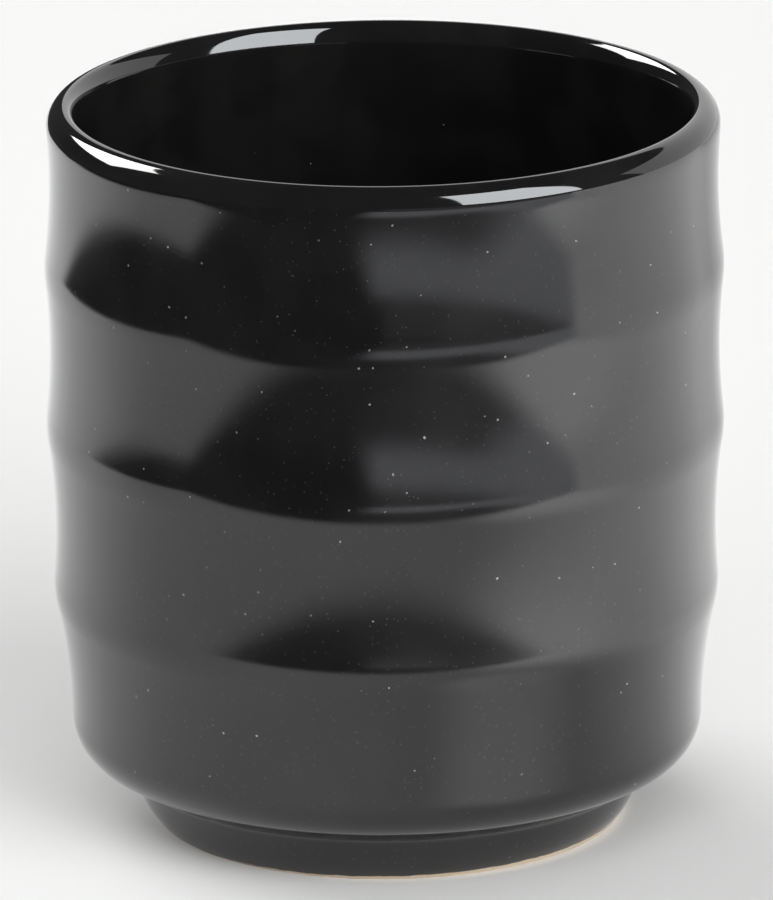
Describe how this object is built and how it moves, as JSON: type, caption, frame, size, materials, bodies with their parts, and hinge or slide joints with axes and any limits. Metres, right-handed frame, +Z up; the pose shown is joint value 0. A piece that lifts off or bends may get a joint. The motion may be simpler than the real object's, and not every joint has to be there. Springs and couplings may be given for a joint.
{
  "type": "handleless cup",
  "caption": "Round handleless tea cup with a softly fluted, ridged wall, rounded lip and short foot ring, in black glaze over pale clay.",
  "frame": {"origin": "centre of the circle that the foot rim stands on", "axes": "+Z up along the cup's axis of revolution; X and Y are alike"},
  "size_m": [0.0778, 0.0778, 0.0844],
  "materials": {
    "bare_clay": "unglazed, fine-grained, matt",
    "satin_black_glaze": "satin black with tiny pale flecks",
    "gloss_black_glaze": "glossy black"
  },
  "bodies": {
    "root": {"clay_body": "bare_clay", "foot_ring": "bare_clay", "outer_glaze": "satin_black_glaze", "inner_glaze": "gloss_black_glaze", "foot_well_glaze": "satin_black_glaze"}
  },
  "joints": []
}
